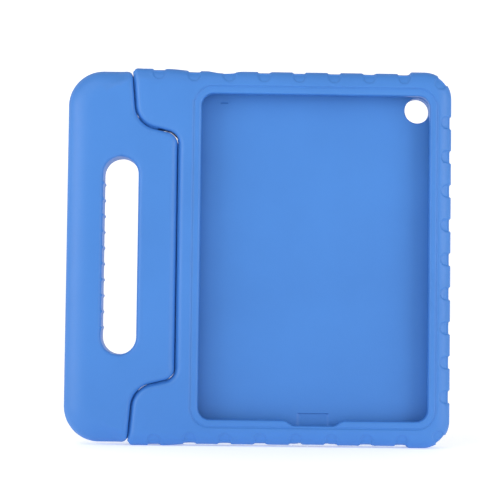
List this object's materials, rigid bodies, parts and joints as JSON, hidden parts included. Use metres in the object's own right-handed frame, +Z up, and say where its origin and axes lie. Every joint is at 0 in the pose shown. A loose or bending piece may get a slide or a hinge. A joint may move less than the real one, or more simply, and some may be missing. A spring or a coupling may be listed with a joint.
{
  "type": "tablet case",
  "caption": "Child's moulded foam case for a tablet, with an open window at the front and a large carrying handle that swings back on hidden hinges to make a stand.",
  "frame": {"origin": "the middle of the case's footprint, on the surface that it stands on, with the case upright as it is seen from the front", "axes": "+X from the handle towards the far side, +Y from the front window to the back, +Z up"},
  "size_m": [0.272, 0.026, 0.2662],
  "materials": {
    "foam": "matte moulded EVA foam",
    "core": "moulded nylon",
    "screw": "zinc plated",
    "pin": "ground steel",
    "socket": "moulded acetal",
    "spring": "blued spring steel"
  },
  "bodies": {
    "case": {"case_shell": "foam", "socket_upper": "socket", "socket_lower": "socket", "friction_clip_upper": "spring", "friction_clip_lower": "spring", "socket_cap_upper": "socket", "socket_cap_lower": "socket"},
    "handle": {"handle_grip": "foam", "core_front": "core", "core_rear": "core", "core_screws": "screw", "hinge_pin_upper": "pin", "hinge_pin_lower": "pin", "stop_disc_upper": "pin", "stop_disc_lower": "pin", "retaining_ring_upper": "spring", "retaining_ring_lower": "spring"}
  },
  "joints": [
    {"name": "handle_swing", "type": "hinge", "parent": "case", "child": "handle", "pos_m": [-0.071, 0.005, 0.1331], "axis": [0, 0, -1], "range_deg": [0, 110]}
  ]
}
